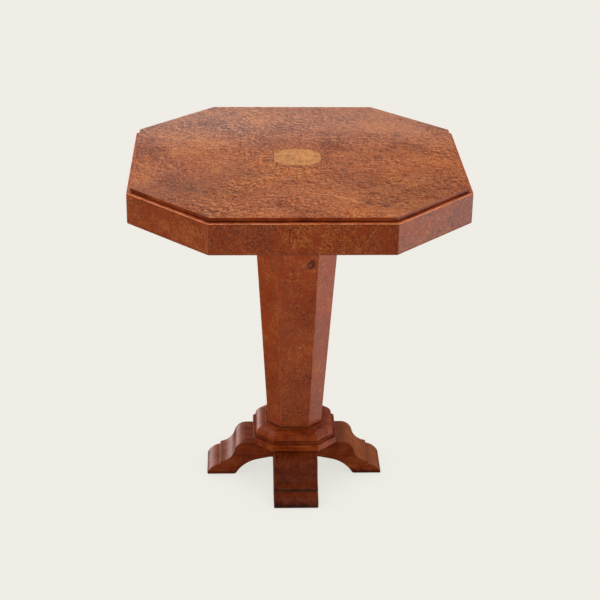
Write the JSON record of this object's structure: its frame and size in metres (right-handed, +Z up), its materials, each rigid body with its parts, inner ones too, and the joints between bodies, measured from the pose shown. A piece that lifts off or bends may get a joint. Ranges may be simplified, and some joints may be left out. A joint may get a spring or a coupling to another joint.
{
  "type": "tilt-top table",
  "caption": "Tilt-top pedestal table: square burl top with canted corners, deep apron and pale inlaid centre, on a tapered canted column with moulded collar and arched cruciform feet.",
  "frame": {"origin": "on the floor at the middle of the table, under the column's axis", "axes": "+Z up, -Y towards the front where the tilted top's face shows, +X to the table's right seen from the front"},
  "size_m": [0.676, 0.676, 0.72],
  "materials": {
    "burl_top": "satin lacquer over amboyna-like burl",
    "burl_apron": "satin lacquer over amboyna-like burl",
    "burl_column": "satin lacquer over amboyna-like burl",
    "light_inlay": "satin lacquer over pale bird's-eye wood",
    "stained_board": "softwood stained red-brown on its edges, bare beneath",
    "stained_rail": "solid wood stained red-brown on the ledge, satin lacquer",
    "mahogany": "dark mahogany, satin polish, worn at the toes",
    "secondary_wood": "bare planed softwood, aged",
    "beech": "bare planed beech, aged",
    "brass": "tarnished polished brass",
    "iron": "dark bright-drawn iron"
  },
  "bodies": {
    "pedestal": {"keeper_plate": "brass", "keeper_screws": "brass", "head_block": "beech", "pivot_pin_left": "iron", "pivot_pin_right": "iron", "column_board_front": "secondary_wood", "column_board_back": "secondary_wood", "column_board_left": "secondary_wood", "column_board_right": "secondary_wood", "column_veneer_front": "burl_column", "column_veneer_front_right": "burl_column", "column_veneer_right": "burl_column", "column_veneer_back_right": "burl_column", "column_veneer_back": "burl_column", "column_veneer_back_left": "burl_column", "column_veneer_left": "burl_column", "column_veneer_front_left": "burl_column", "column_head_plug": "beech", "column_foot_plug": "beech", "tie_rod": "iron", "tie_rod_nuts": "iron", "tie_rod_washers": "iron", "collar_moulding": "mahogany", "collar_band": "mahogany", "foot_rail_front_back": "mahogany", "foot_rail_left_right": "mahogany"},
    "tilting_top": {"top_board": "stained_board", "top_veneer": "burl_top", "medallion_inlay": "light_inlay", "apron_rail_front": "stained_rail", "apron_rail_front_right": "stained_rail", "apron_rail_right": "stained_rail", "apron_rail_back_right": "stained_rail", "apron_rail_back": "stained_rail", "apron_rail_back_left": "stained_rail", "apron_rail_left": "stained_rail", "apron_rail_front_left": "stained_rail", "apron_veneer_front": "burl_apron", "apron_veneer_front_right": "burl_apron", "apron_veneer_right": "burl_apron", "apron_veneer_back_right": "burl_apron", "apron_veneer_back": "burl_apron", "apron_veneer_back_left": "burl_apron", "apron_veneer_left": "burl_apron", "apron_veneer_front_left": "burl_apron", "corner_glue_blocks": "secondary_wood", "bearer_left": "beech", "bearer_right": "beech", "bearer_screws": "iron", "catch_plate": "brass", "catch_screws": "brass"},
    "catch": {"catch_bolt": "brass", "catch_knob": "brass"}
  },
  "joints": [
    {"name": "top_tilt", "type": "hinge", "parent": "pedestal", "child": "tilting_top", "pos_m": [0, -0.12, 0.675], "axis": [1, 0, 0], "range_deg": [0, 90]},
    {"name": "catch_slide", "type": "slide", "parent": "tilting_top", "child": "catch", "axis": [0, -1, 0], "range_m": [0, 0.01]}
  ]
}
